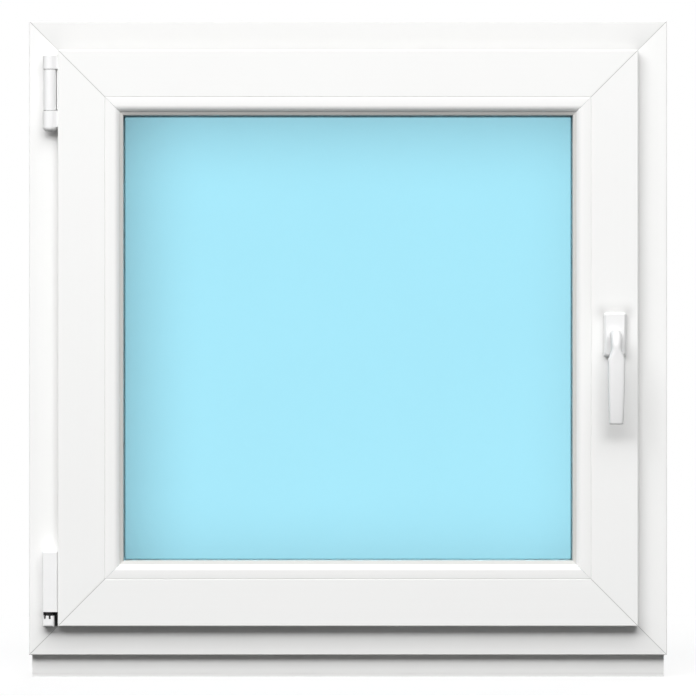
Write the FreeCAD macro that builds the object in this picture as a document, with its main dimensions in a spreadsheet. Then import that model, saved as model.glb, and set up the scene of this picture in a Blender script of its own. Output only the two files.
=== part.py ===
import FreeCAD, Part

import math
import os
import re

import Sketcher
from FreeCAD import Placement, Rotation, Vector

# White plastic tilt and turn window, closed, seen from the room along +Y.
# Section places are written as pairs: inset from the frame's outer edge towards the glass, and depth
# from the frame's room face towards the outside. Heights are measured from the frame's bottom edge.

SIZES = (
    # Outer frame
    ("frame_width", 800.0),
    ("frame_height", 795.0),
    ("frame_depth", 70.0),
    ("frame_rounding", 1.2),
    ("flange_rise", 20.0),
    ("flange_depth", 22.0),
    ("flange_fall", 3.0),
    ("clip_groove_width", 6.0),
    ("clip_groove_depth", 3.0),
    ("clip_groove_inset", 17.0),
    # Sash and the way it lies in the frame
    ("sash_reveal", 37.0),
    ("sash_overlap", 8.0),
    ("sash_proud", 20.0),
    ("sash_face", 59.0),
    ("sash_depth", 70.0),
    ("sash_rounding", 1.5),
    ("rebate_air", 12.0),
    ("seal_gap", 4.0),
    ("step_gap", 4.0),
    ("gear_groove_width", 16.0),
    ("gear_groove_depth", 4.0),
    ("gear_groove_inset", 9.0),
    # Corner welds
    ("weld_width", 0.8),
    ("weld_depth", 0.5),
    ("mitre_margin", 5.0),
    # Glazing
    ("bead_width", 23.0),
    ("bead_bevel", 5.5),
    ("bead_rounding", 10.0),
    ("bead_lip_rounding", 3.0),
    ("bead_edge_rounding", 1.0),
    ("bead_joint", 0.15),
    ("glazing_leg", 8.0),
    ("leg_fall", 3.0),
    ("glazing_seal", 4.0),
    ("seal_lip", 3.0),
    ("seal_bite", 8.0),
    ("pane_thickness", 4.0),
    ("pane_gap", 16.0),
    ("pane_edge_gap", 5.0),
    ("spacer_height", 7.0),
    ("spacer_hide", 1.0),
    ("block_length", 100.0),
    ("block_inset", 60.0),
    # Rebate seals
    ("seal_width", 5.0),
    # Base profile under the frame
    ("base_height", 28.0),
    ("base_depth", 36.0),
    ("base_setback", 14.0),
    ("base_end_gap", 3.0),
    ("base_wall", 2.5),
    ("base_line_height", 3.0),
    ("base_line_width", 1.0),
    ("base_line_depth", 0.8),
    ("tongue_clearance", 0.25),
    # Drain caps on the outside of the bottom rail
    ("drain_cap_length", 42.0),
    ("drain_cap_height", 14.0),
    ("drain_cap_depth", 4.0),
    ("drain_cap_slope", 2.5),
    ("drain_cap_spacing", 480.0),
    ("drain_cap_inset", 30.0),
    ("drain_cap_wall", 1.5),
    ("drain_slot_length", 30.0),
    ("drain_slot_height", 5.0),
    ("drain_slot_depth", 8.0),
    # Hinges on the left
    ("hinge_inset", 27.0),
    ("hinge_standoff", 4.0),
    ("knuckle_radius", 9.0),
    ("knuckle_gap", 0.6),
    ("knuckle_rounding", 5.0),
    ("knuckle_bevel", 0.8),
    ("seam_notch_height", 3.0),
    ("seam_notch_depth", 7.0),
    ("seam_notch_width", 2.5),
    ("strap_thickness", 1.0),
    ("strap_width", 9.0),
    ("bearing_radius", 8.2),
    ("hinge_pin_radius", 3.5),
    ("hinge_pin_clearance", 0.1),
    ("top_hinge_drop", 44.0),
    ("top_knuckle_height", 17.0),
    ("bearing_height", 51.0),
    ("low_knuckle_height", 25.5),
    ("cover_rise", 55.0),
    ("cover_height", 76.0),
    ("cover_width", 19.0),
    ("cover_depth", 22.0),
    ("cover_rounding", 2.0),
    ("cover_clearance", 1.0),
    ("pivot_rise", 36.5),
    ("pivot_height", 13.5),
    ("pivot_width", 14.5),
    ("pivot_depth", 20.0),
    ("pivot_rounding", 2.5),
    ("pivot_notch_width", 2.5),
    ("pivot_notch_depth", 4.0),
    ("pivot_notch_inset", 3.0),
    ("pivot_notch_pitch", 6.0),
    ("pivot_plate_thickness", 2.5),
    ("pivot_pin_radius", 4.0),
    ("pivot_pin_grip", 6.0),
    # Handle on the right
    ("handle_rise", 4.5),
    ("rose_width", 28.0),
    ("rose_height", 55.0),
    ("rose_thickness", 10.0),
    ("rose_corner", 4.0),
    ("rose_bevel", 2.5),
    ("journal_depth", 8.0),
    ("journal_clearance", 0.1),
    ("neck_width", 13.0),
    ("neck_corner", 6.3),
    ("neck_reach", 24.0),
    ("neck_bend", 16.0),
    ("neck_drop", 21.0),
    ("grip_start", 31.0),
    ("grip_width", 21.5),
    ("grip_thickness", 12.0),
    ("grip_corner", 4.5),
    ("grip_end_width", 17.0),
    ("grip_end_thickness", 10.0),
    ("grip_end_bevel", 2.0),
    ("grip_bow", 5.0),
    ("lever_length", 112.0),
)

doc = FreeCAD.newDocument("TiltAndTurnWindow")
sheet = doc.addObject("Spreadsheet::Sheet", "Sizes")
for row, (alias, size) in enumerate(SIZES, start=1):
    sheet.set(f"A{row}", alias)
    sheet.set(f"B{row}", str(size))
    sheet.setAlias(f"B{row}", alias)
doc.recompute()

# Lines of the section, as formulas over the sizes
REBATE_FLOOR = "(sash_reveal + sash_overlap)"
FLANGE_TIP = f"({REBATE_FLOOR} + flange_rise)"
FLANGE_STOP = "(frame_depth - flange_depth)"
SASH_EDGE = f"({REBATE_FLOOR} + rebate_air)"
SASH_FRONT = "(-sash_proud)"
SASH_STOP = f"({FLANGE_STOP} - seal_gap)"
SASH_STEP = f"({FLANGE_TIP} + step_gap)"
SASH_REAR = "(sash_depth - sash_proud)"
BEAD_LINE = "(sash_reveal + sash_face)"
SIGHT_LINE = f"({BEAD_LINE} + bead_width)"
LEG_FRONT = f"({SASH_REAR} - glazing_leg)"
OUTER_PANE_REAR = f"({LEG_FRONT} - glazing_seal)"
OUTER_PANE_FRONT = f"({OUTER_PANE_REAR} - pane_thickness)"
INNER_PANE_REAR = f"({OUTER_PANE_FRONT} - pane_gap)"
INNER_PANE_FRONT = f"({INNER_PANE_REAR} - pane_thickness)"
BEAD_REAR = f"({INNER_PANE_FRONT} - glazing_seal)"
PANE_EDGE = f"({BEAD_LINE} + pane_edge_gap)"
SEAL_EDGE = f"({SIGHT_LINE} - seal_lip)"
SPACER_SIGHT = f"({SIGHT_LINE} - spacer_hide)"
CLIP_GROOVE_ROOM = "clip_groove_inset"
CLIP_GROOVE_OUT = "(frame_depth - clip_groove_inset)"

# The part's origin is on the base profile's bottom face, midway along it and across it
ORIGIN_DEPTH = "(base_setback + base_depth / 2)"
HINGE_X = "(hinge_inset - frame_width / 2)"
HINGE_DEPTH = "(-hinge_standoff - knuckle_radius)"
HANDLE_X = "(frame_width / 2 - sash_reveal - sash_face / 2)"
HANDLE_Z = "(frame_height / 2 + handle_rise)"

# Direction along the side, place of the outer edge's middle, and length, for each side of the window
SIDES = {
    "bottom": (Vector(1, 0, 0), "0", "0", "frame_width"),
    "top": (Vector(-1, 0, 0), "0", "frame_height", "frame_width"),
    "left": (Vector(0, 0, -1), "-frame_width / 2", "frame_height / 2", "frame_height"),
    "right": (Vector(0, 0, 1), "frame_width / 2", "frame_height / 2", "frame_height"),
}
OUTWARD = Vector(0, 1, 0)
TOLERANCE = 1e-4
SWELL_STEPS = 4
BOW_STEPS = 3

sub_parts = []


def bind(formula):
    """Write a formula over size names as one over the sheet's cells."""
    return re.sub(r"[a-z][a-z_]+", lambda word: "Sizes." + word.group(0), formula)


def value(formula):
    """Number that a formula over size names has now."""
    return float(sheet.evalExpression(bind(formula)))


def new_body(label, across="0", depth="0", up="0", along=Vector(1, 0, 0)):
    """Start a sub-part whose own origin is at the given place and whose X axis has the given direction."""
    body = doc.addObject("PartDesign::Body", label)
    body.Label = label
    body.Placement = Placement(Vector(), Rotation(along, OUTWARD, along.cross(OUTWARD), "YXZ"))
    body.setExpression("Placement.Base.x", bind(across))
    body.setExpression("Placement.Base.y", bind(f"{depth} - {ORIGIN_DEPTH}"))
    body.setExpression("Placement.Base.z", bind(f"{up} + base_height"))
    sub_parts.append(body)
    return body


def new_sketch(body, role, offset="0"):
    """Start a sketch on one of the body's own planes, moved along that plane's normal."""
    sketch = body.newObject("Sketcher::SketchObject", f"{body.Name}_sketch")
    plane = next(item for item in body.Origin.OriginFeatures if item.Role == role)
    sketch.AttachmentSupport = [(plane, "")]
    sketch.MapMode = "FlatFace"
    sketch.setExpression("AttachmentOffset.Base.z", bind(offset))
    return sketch


def hold(sketch, kind, formula, *points):
    """Add one dimension to a sketch and tie it to its formula."""
    index = sketch.addConstraint(Sketcher.Constraint(kind, *points, value(formula)))
    sketch.setExpression(f"Constraints[{index}]", bind(formula))


def hold_point(sketch, geometry, point, place):
    """Tie a point of a sketch to a pair of formulas."""
    hold(sketch, "DistanceX", place[0], -1, 1, geometry, point)
    hold(sketch, "DistanceY", place[1], -1, 1, geometry, point)


def draw_polygon(sketch, corners):
    """Draw a closed outline with straight sides."""
    first = sketch.GeometryCount
    count = len(corners)
    places = [Vector(value(across), value(up), 0) for across, up in corners]
    for number in range(count):
        sketch.addGeometry(Part.LineSegment(places[number], places[(number + 1) % count]))
    for number in range(count):
        following = first + (number + 1) % count
        sketch.addConstraint(Sketcher.Constraint("Coincident", first + number, 2, following, 1))
        hold_point(sketch, first + number, 1, corners[number])


def draw_rectangle(sketch, left, right, low, high):
    """Draw a rectangle between four formulas."""
    draw_polygon(sketch, [(left, low), (right, low), (right, high), (left, high)])


def draw_circle(sketch, centre, radius):
    """Draw a circle about a pair of formulas."""
    middle = Vector(value(centre[0]), value(centre[1]), 0)
    index = sketch.addGeometry(Part.Circle(middle, Vector(0, 0, 1), value(radius)))
    hold_point(sketch, index, 3, centre)
    hold(sketch, "Radius", radius, index)


def draw_rounded_rectangle(sketch, centre, width, height, corner):
    """Draw a rectangle with round corners about a pair of formulas."""
    quarter = math.pi / 2
    radius = value(corner)
    signs = ((1, 1), (-1, 1), (-1, -1), (1, -1))
    arcs = []
    for number, (side, level) in enumerate(signs):
        across = f"({centre[0]} + ({side}) * ({width} / 2 - {corner}))"
        up = f"({centre[1]} + ({level}) * ({height} / 2 - {corner}))"
        middle = Vector(value(across), value(up), 0)
        circle = Part.Circle(middle, Vector(0, 0, 1), radius)
        arc = sketch.addGeometry(Part.ArcOfCircle(circle, number * quarter, (number + 1) * quarter))
        hold_point(sketch, arc, 3, (across, up))
        hold(sketch, "Radius", corner, arc)
        arcs.append(arc)
    for number, arc in enumerate(arcs):
        following = arcs[(number + 1) % len(arcs)]
        begin = sketch.getPoint(arc, 2)
        end = sketch.getPoint(following, 1)
        line = sketch.addGeometry(Part.LineSegment(begin, end))
        sketch.addConstraint(Sketcher.Constraint("Tangent", arc, 2, line, 1))
        sketch.addConstraint(Sketcher.Constraint("Tangent", line, 2, following, 1))


def pad(body, sketch, length, symmetric=False, backwards=False):
    """Raise a sketch into a solid."""
    feature = body.newObject("PartDesign::Pad", f"{body.Name}_pad")
    feature.Profile = sketch
    feature.setExpression("Length", bind(length))
    feature.SideType = "Symmetric" if symmetric else "One side"
    feature.Reversed = backwards
    return feature


def pocket(body, sketch, depth=None, backwards=False):
    """Cut a sketch to a depth, or through the whole solid both ways, and see that it cuts."""
    doc.recompute()
    before = body.Shape.Volume
    feature = body.newObject("PartDesign::Pocket", f"{body.Name}_pocket")
    feature.Profile = sketch
    feature.Reversed = backwards
    if depth is None:
        feature.Type = "ThroughAll"
        feature.SideType = "Symmetric"
    else:
        feature.setExpression("Length", bind(depth))
    doc.recompute()
    if not body.Shape.Volume < before:
        raise RuntimeError(f"{body.Label}: a pocket cuts nothing")
    return feature


def dress(body, kind, size_property, size, picks):
    """Round or bevel the edges that a test picks."""
    doc.recompute()
    base = body.Tip
    names = [f"Edge{number}" for number, edge in enumerate(base.Shape.Edges, start=1) if picks(edge)]
    if not names:
        raise RuntimeError(f"{body.Label}: no edge to dress")
    feature = body.newObject(f"PartDesign::{kind}", f"{body.Name}_{kind.lower()}")
    feature.Base = (base, names)
    feature.setExpression(size_property, bind(size))
    return feature


def round_edges(body, radius, picks):
    """Round the edges that a test picks."""
    return dress(body, "Fillet", "Radius", radius, picks)


def bevel_edges(body, size, picks):
    """Bevel the edges that a test picks."""
    return dress(body, "Chamfer", "Size", size, picks)


def on_plane(axis, formula):
    """Make a test for edges that lie wholly at one level of an axis."""
    level = value(formula)

    def picks(edge):
        box = edge.BoundBox
        low = getattr(box, f"{axis}Min")
        high = getattr(box, f"{axis}Max")
        return abs(low - level) < TOLERANCE and abs(high - level) < TOLERANCE

    return picks


def all_of(*tests):
    """Make a test that passes edges which pass every given test."""
    return lambda edge: all(test(edge) for test in tests)


def any_of(*tests):
    """Make a test that passes edges which pass one of the given tests."""
    return lambda edge: any(test(edge) for test in tests)


def is_arc(edge):
    """Tell whether an edge is round."""
    return edge.Curve.TypeId == "Part::GeomCircle"


def along_section(inset, depth):
    """Make a test for the long edge of a member at one place of its section."""
    return all_of(on_plane("Z", inset), on_plane("Y", depth))


def groove_weld(body, length, depth, low, high, backwards=False):
    """Cut the shallow clean-up groove along both mitres of one face of a member."""
    sketch = new_sketch(body, "XZ_Plane", f"-{depth}")
    for sign in ("1", "-1"):
        inner_low = (f"{sign} * ({length} / 2 - {low} - weld_width)", low)
        outer_low = (f"{sign} * ({length} / 2 - {low} + mitre_margin)", low)
        outer_high = (f"{sign} * ({length} / 2 - {high} + mitre_margin)", high)
        inner_high = (f"{sign} * ({length} / 2 - {high} - weld_width)", high)
        draw_polygon(sketch, [inner_low, outer_low, outer_high, inner_high])
    pocket(body, sketch, "weld_depth", backwards)


def mitred_member(label, side, section, roundings, tip, joint="0"):
    """Make one side of a ring: its section run along the side, rounded, and cut at 45 degrees."""
    along, across, up, length = SIDES[side]
    body = new_body(label, across, "0", up, along)
    sketch = new_sketch(body, "YZ_Plane")
    draw_polygon(sketch, [(depth, inset) for inset, depth in section])
    pad(body, sketch, length, symmetric=True)
    for radius, places in roundings:
        round_edges(body, radius, any_of(*[along_section(*place) for place in places]))
    mitres = new_sketch(body, "XZ_Plane")
    for sign in ("1", "-1"):
        corner = (f"{sign} * ({length} / 2 - {joint} + mitre_margin)", "-mitre_margin")
        outside = (f"{sign} * ({length} / 2 + mitre_margin)", f"{tip} + mitre_margin")
        inside = (f"{sign} * ({length} / 2 - {joint} - {tip} - mitre_margin)", f"{tip} + mitre_margin")
        draw_polygon(mitres, [corner, outside, inside])
    pocket(body, mitres)
    return body


def draw_ring(sketch, outer, inner):
    """Draw the window-shaped band between two insets."""
    for inset in (outer, inner):
        draw_rectangle(
            sketch,
            f"{inset} - frame_width / 2",
            f"frame_width / 2 - {inset}",
            inset,
            f"frame_height - {inset}",
        )


def ring(label, outer, inner, front, thickness):
    """Make a flat closed band that runs round the window."""
    body = new_body(label)
    sketch = new_sketch(body, "XZ_Plane", f"-{front}")
    draw_ring(sketch, outer, inner)
    pad(body, sketch, thickness, backwards=True)
    return body


def inner_corner_edges(inset, depth):
    """Make a test for the four edges of a band at one inset and depth."""
    sides = any_of(
        on_plane("X", f"{inset} - frame_width / 2"),
        on_plane("X", f"frame_width / 2 - {inset}"),
        on_plane("Z", inset),
        on_plane("Z", f"frame_height - {inset}"),
    )
    return all_of(on_plane("Y", depth), sides)


def build_frame():
    """Make the four welded frame members and the seal on their outer flange."""
    groove_half = "clip_groove_width / 2"
    section = [
        ("0", "0"),
        (REBATE_FLOOR, "0"),
        (REBATE_FLOOR, FLANGE_STOP),
        (FLANGE_TIP, FLANGE_STOP),
        (f"{FLANGE_TIP} - flange_fall", "frame_depth"),
        ("0", "frame_depth"),
    ]
    for middle in (CLIP_GROOVE_OUT, CLIP_GROOVE_ROOM):
        section.append(("0", f"{middle} + {groove_half}"))
        section.append(("clip_groove_depth", f"{middle} + {groove_half}"))
        section.append(("clip_groove_depth", f"{middle} - {groove_half}"))
        section.append(("0", f"{middle} - {groove_half}"))
    corners = [("0", "0"), (REBATE_FLOOR, "0"), (f"{FLANGE_TIP} - flange_fall", "frame_depth")]
    names = {
        "bottom": "frame_bottom_rail",
        "top": "frame_head",
        "left": "frame_left_jamb",
        "right": "frame_right_jamb",
    }
    for side, label in names.items():
        length = SIDES[side][3]
        body = mitred_member(label, side, section, [("frame_rounding", corners)], FLANGE_TIP)
        groove_weld(body, length, "0", "0", REBATE_FLOOR)
        groove_weld(body, length, "frame_depth", "0", FLANGE_TIP, backwards=True)
        if side == "bottom":
            cut_drain_slots(body)
    inner = f"({FLANGE_TIP} + seal_lip / 2)"
    ring("frame_seal", f"({inner} - seal_width)", inner, SASH_STOP, "seal_gap")


def build_sash():
    """Make the four welded sash members and the seal behind their overlap."""
    gear_low = f"({SASH_FRONT} + sash_proud + gear_groove_inset)"
    gear_high = f"({gear_low} + gear_groove_width)"
    overlap_rear = "(-seal_gap)"
    section = [
        ("sash_reveal", SASH_FRONT),
        (BEAD_LINE, SASH_FRONT),
        (BEAD_LINE, LEG_FRONT),
        (SIGHT_LINE, LEG_FRONT),
        (f"{SIGHT_LINE} - leg_fall", SASH_REAR),
        (SASH_STEP, SASH_REAR),
        (SASH_STEP, SASH_STOP),
        (SASH_EDGE, SASH_STOP),
        (SASH_EDGE, gear_high),
        (f"{SASH_EDGE} + gear_groove_depth", gear_high),
        (f"{SASH_EDGE} + gear_groove_depth", gear_low),
        (SASH_EDGE, gear_low),
        (SASH_EDGE, overlap_rear),
        ("sash_reveal", overlap_rear),
    ]
    roundings = [
        ("sash_rounding", [("sash_reveal", SASH_FRONT), (f"{SIGHT_LINE} - leg_fall", SASH_REAR)]),
        ("bead_edge_rounding", [(BEAD_LINE, SASH_FRONT)]),
    ]
    names = {
        "bottom": "sash_bottom_rail",
        "top": "sash_top_rail",
        "left": "sash_left_stile",
        "right": "sash_right_stile",
    }
    for side, label in names.items():
        length = SIDES[side][3]
        body = mitred_member(label, side, section, roundings, SIGHT_LINE)
        groove_weld(body, length, SASH_FRONT, "sash_reveal", BEAD_LINE)
        groove_weld(body, length, SASH_REAR, SASH_STEP, SIGHT_LINE, backwards=True)
    ring("sash_seal", "(sash_reveal + seal_lip)", f"({REBATE_FLOOR})", "(-seal_gap)", "seal_gap")


def build_glazing():
    """Make the double pane, its spacer and blocks, the beads, and the seals against the glass."""
    shoulder = (f"({SEAL_EDGE} - bead_bevel)", SASH_FRONT)
    lip = (SEAL_EDGE, f"({SASH_FRONT} + bead_bevel)")
    section = [
        (BEAD_LINE, SASH_FRONT),
        shoulder,
        lip,
        (SEAL_EDGE, BEAD_REAR),
        (BEAD_LINE, BEAD_REAR),
    ]
    roundings = [
        ("bead_edge_rounding", [(BEAD_LINE, SASH_FRONT)]),
        ("bead_rounding", [shoulder]),
        ("bead_lip_rounding", [lip]),
    ]
    for side in SIDES:
        mitred_member(f"bead_{side}", side, section, roundings, SEAL_EDGE, "bead_joint")
    for label, front in (("inner_pane", INNER_PANE_FRONT), ("outer_pane", OUTER_PANE_FRONT)):
        body = new_body(label)
        sketch = new_sketch(body, "XZ_Plane", f"-{front}")
        draw_rectangle(
            sketch,
            f"{PANE_EDGE} - frame_width / 2",
            f"frame_width / 2 - {PANE_EDGE}",
            PANE_EDGE,
            f"frame_height - {PANE_EDGE}",
        )
        pad(body, sketch, "pane_thickness", backwards=True)
    ring("pane_spacer", f"({SPACER_SIGHT} - spacer_height)", SPACER_SIGHT, INNER_PANE_REAR, "pane_gap")
    bite = f"({SIGHT_LINE} - seal_bite)"
    inner = ring("inner_glass_seal", bite, SIGHT_LINE, BEAD_REAR, "glazing_seal")
    bevel_edges(inner, "seal_lip / 2", inner_corner_edges(SIGHT_LINE, BEAD_REAR))
    ring("outer_glass_seal", bite, SIGHT_LINE, OUTER_PANE_REAR, "glazing_seal")
    blocks = new_body("glazing_blocks")
    sketch = new_sketch(blocks, "XZ_Plane", f"-{INNER_PANE_FRONT}")
    block_end = f"(frame_width / 2 - {PANE_EDGE} - block_inset)"
    low, high = BEAD_LINE, PANE_EDGE
    draw_rectangle(sketch, f"{block_end} - block_length", block_end, low, high)
    draw_rectangle(sketch, f"-{block_end}", f"block_length - {block_end}", low, high)
    pad(blocks, sketch, "2 * pane_thickness + pane_gap", backwards=True)


def build_base():
    """Make the hollow base profile that carries the frame, with a tongue in the frame's clip groove."""
    front = "base_setback"
    rear = "(base_setback + base_depth)"
    foot = "(-base_height)"
    tongue_half = "(clip_groove_width / 2 - tongue_clearance)"
    tongue_top = "(clip_groove_depth - tongue_clearance)"
    line_low = f"({foot} + base_line_height)"
    line_high = f"({line_low} + base_line_width)"
    body = new_body("base_profile")
    sketch = new_sketch(body, "YZ_Plane")
    draw_polygon(sketch, [
        (front, foot),
        (rear, foot),
        (rear, line_low),
        (f"{rear} - base_line_depth", line_low),
        (f"{rear} - base_line_depth", line_high),
        (rear, line_high),
        (rear, "0"),
        (f"{CLIP_GROOVE_ROOM} + {tongue_half}", "0"),
        (f"{CLIP_GROOVE_ROOM} + {tongue_half}", tongue_top),
        (f"{CLIP_GROOVE_ROOM} - {tongue_half}", tongue_top),
        (f"{CLIP_GROOVE_ROOM} - {tongue_half}", "0"),
        (front, "0"),
        (front, line_high),
        (f"{front} + base_line_depth", line_high),
        (f"{front} + base_line_depth", line_low),
        (front, line_low),
    ])
    chambers = (
        (f"{front} + base_wall", f"{ORIGIN_DEPTH} - base_wall / 2"),
        (f"{ORIGIN_DEPTH} + base_wall / 2", f"{rear} - base_wall"),
    )
    for left, right in chambers:
        draw_rectangle(sketch, left, right, f"{foot} + base_wall", "-base_wall")
    pad(body, sketch, "frame_width - 2 * base_end_gap", symmetric=True)


def cut_drain_slots(rail):
    """Cut the two drain slots in the outside face of the bottom rail."""
    sketch = new_sketch(rail, "XZ_Plane", "-frame_depth")
    for sign in ("-1", "1"):
        middle = f"{sign} * drain_cap_spacing / 2"
        draw_rectangle(
            sketch,
            f"{middle} - drain_slot_length / 2",
            f"{middle} + drain_slot_length / 2",
            "drain_cap_inset - drain_slot_height / 2",
            "drain_cap_inset + drain_slot_height / 2",
        )
    pocket(rail, sketch, "drain_slot_depth", backwards=True)


def build_drain_caps():
    """Make the two hoods over the drain slots, open at the bottom."""
    half = "drain_cap_length / 2"
    top = "drain_cap_height / 2"
    for label, sign in (("drain_cap_left", "-1"), ("drain_cap_right", "1")):
        body = new_body(label, f"{sign} * drain_cap_spacing / 2", "frame_depth", "drain_cap_inset")
        sketch = new_sketch(body, "XZ_Plane")
        draw_rectangle(sketch, f"-{half}", half, f"-{top}", top)
        pad(body, sketch, "drain_cap_depth", backwards=True)
        bevel_edges(body, "drain_cap_slope", all_of(on_plane("Y", "drain_cap_depth"), on_plane("Z", top)))
        hollow = new_sketch(body, "XZ_Plane")
        draw_rectangle(
            hollow,
            f"drain_cap_wall - {half}",
            f"{half} - drain_cap_wall",
            f"-{top} - mitre_margin",
            f"{top} - drain_cap_wall - drain_cap_slope",
        )
        pocket(body, hollow, "drain_cap_depth - drain_cap_wall")


def barrel(body, radius, low, height):
    """Raise a round knuckle about the hinge axis."""
    sketch = new_sketch(body, "XY_Plane", low)
    draw_circle(sketch, ("0", HINGE_DEPTH), radius)
    pad(body, sketch, height)


def block(body, left, right, front, rear, low, height):
    """Raise a rectangular block."""
    sketch = new_sketch(body, "XY_Plane", low)
    draw_rectangle(sketch, left, right, front, rear)
    pad(body, sketch, height)


def drill(body, radius, low):
    """Cut a round hole about the hinge axis, right through the body from a level up and down."""
    sketch = new_sketch(body, "XY_Plane", low)
    draw_circle(sketch, ("0", HINGE_DEPTH), radius)
    pocket(body, sketch)


def build_top_hinge():
    """Make the stay hinge: two knuckles on the sash, the frame bearing between them, and the pin."""
    bearing_low = "(low_knuckle_height + knuckle_gap)"
    top_low = f"({bearing_low} + bearing_height + knuckle_gap)"
    total = f"({top_low} + top_knuckle_height)"
    place = (HINGE_X, "0", f"frame_height - top_hinge_drop - {total}")
    edge = "(sash_reveal - hinge_inset)"
    strap_front = f"({HINGE_DEPTH} - strap_width / 2)"
    strap_rear = f"({HINGE_DEPTH} + strap_width / 2)"
    bore = "hinge_pin_radius + hinge_pin_clearance"

    band = new_body("top_hinge_band", *place)
    barrel(band, "knuckle_radius", "0", "low_knuckle_height")
    round_edges(band, "knuckle_rounding", on_plane("Z", "0"))
    crest = f"({HINGE_DEPTH} - 0.86 * knuckle_radius)"
    leaf = [
        ("0", crest),
        ("knuckle_radius / 2", crest),
        (edge, strap_front),
        (edge, strap_rear),
        ("0", strap_rear),
    ]
    strap = [
        (f"{edge} - strap_thickness", strap_front),
        (edge, strap_front),
        (edge, strap_rear),
        (f"{edge} - strap_thickness", strap_rear),
    ]
    stages = (
        (leaf, "knuckle_rounding", "low_knuckle_height - knuckle_rounding"),
        (strap, "knuckle_rounding", f"{total} - knuckle_rounding - 2 * knuckle_bevel"),
        (leaf, top_low, "top_knuckle_height - 2 * knuckle_bevel"),
    )
    for outline, low, height in stages:
        sketch = new_sketch(band, "XY_Plane", low)
        draw_polygon(sketch, outline)
        pad(band, sketch, height)
    barrel(band, "knuckle_radius", top_low, "top_knuckle_height")
    bevel_edges(band, "knuckle_bevel", on_plane("Z", total))
    drill(band, bore, "0")
    notches = new_sketch(band, "XZ_Plane", f"-{strap_front}")
    for seam in ("low_knuckle_height", f"{top_low} - knuckle_gap"):
        draw_rectangle(
            notches,
            f"{edge} - seam_notch_width",
            f"{edge} + mitre_margin",
            f"{seam} + knuckle_gap / 2 - seam_notch_height / 2",
            f"{seam} + knuckle_gap / 2 + seam_notch_height / 2",
        )
    pocket(band, notches, "seam_notch_depth")

    bearing = new_body("top_hinge_bearing", *place)
    barrel(bearing, "bearing_radius", bearing_low, "bearing_height")
    block(bearing, "-bearing_radius", "bearing_radius", HINGE_DEPTH, "0", bearing_low, "bearing_height")
    drill(bearing, bore, bearing_low)

    pin = new_body("top_hinge_pin", *place)
    barrel(pin, "hinge_pin_radius", "0", total)


def build_bottom_hinge():
    """Make the corner hinge: the sash cover, and the frame's plate, pivot block and pin below it."""
    place = (HINGE_X, "0", "0")
    edge = "(sash_reveal - hinge_inset)"
    left = f"({edge} - cover_width)"
    cover = new_body("bottom_hinge_cover", *place)
    block(cover, left, edge, "-cover_depth", "-cover_clearance", "cover_rise", "cover_height")
    front = on_plane("Y", "-cover_depth")
    level = on_plane("Z", "cover_rise")
    round_edges(cover, "cover_rounding", lambda edge: front(edge) and not level(edge))
    sketch = new_sketch(cover, "XY_Plane", "cover_rise")
    draw_circle(sketch, ("0", HINGE_DEPTH), "pivot_pin_radius + hinge_pin_clearance")
    pocket(cover, sketch, "pivot_pin_grip", backwards=True)

    plate = new_body("bottom_hinge_plate", *place)
    block(plate, left, edge, "-pivot_plate_thickness", "0", "pivot_rise", "cover_rise - pivot_rise")

    pivot = new_body("bottom_hinge_pivot", *place)
    right = f"({left} + pivot_width)"
    block(pivot, left, right, "-pivot_depth", "-pivot_plate_thickness", "pivot_rise", "pivot_height")
    round_edges(pivot, "pivot_rounding", all_of(
        on_plane("Y", "-pivot_depth"),
        any_of(on_plane("X", left), on_plane("X", right), on_plane("Z", "pivot_rise")),
    ))
    notches = new_sketch(pivot, "XZ_Plane")
    top = "(pivot_rise + pivot_height)"
    for number in ("0", "1"):
        middle = f"({left} + pivot_notch_inset + {number} * pivot_notch_pitch)"
        draw_rectangle(
            notches,
            f"{middle} - pivot_notch_width / 2",
            f"{middle} + pivot_notch_width / 2",
            f"{top} - pivot_notch_depth",
            f"{top} + mitre_margin",
        )
    pocket(pivot, notches)
    drill(pivot, "pivot_pin_radius + hinge_pin_clearance", "pivot_rise")

    pin = new_body("bottom_hinge_pin", *place)
    barrel(pin, "pivot_pin_radius", "pivot_rise", "cover_rise + pivot_pin_grip - pivot_rise")


def between(first, last, part_way):
    """Write the formula for a value part of the way from one formula to another."""
    return f"({first} + {part_way} * ({last} - {first}))"


def lever_section(lever, drop, depth, width, thickness, corner):
    """Draw the lever's section at a drop below the pivot and a depth in front of the sash."""
    section = new_sketch(lever, "XY_Plane", f"-{drop}")
    draw_rounded_rectangle(section, ("0", f"-{depth}"), width, thickness, corner)
    return section


def draw_grip(lever):
    """Draw the sections that swell from the neck to the grip, then taper and bow back to its end."""
    reach = "(neck_reach + neck_bend)"
    neck = ("neck_width", "neck_width", "neck_corner")
    full = ("grip_width", "grip_thickness", "grip_corner")
    end = ("grip_end_width", "grip_end_thickness", "grip_corner")
    sections = [lever_section(lever, "neck_bend", reach, *neck)]
    for step in range(SWELL_STEPS + 1):
        part_way = step / SWELL_STEPS
        swell = part_way * part_way * (3 - 2 * part_way)
        drop = between("neck_drop", "grip_start", part_way)
        sizes = [between(first, last, swell) for first, last in zip(neck, full)]
        sections.append(lever_section(lever, drop, reach, *sizes))
    for step in range(1, BOW_STEPS + 1):
        part_way = step / BOW_STEPS
        bow = part_way * part_way
        drop = between("grip_start", "lever_length", part_way)
        sizes = [between(first, last, bow) for first, last in zip(full, end)]
        sections.append(lever_section(lever, drop, f"({reach} - {bow} * grip_bow)", *sizes))
    return sections


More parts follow.
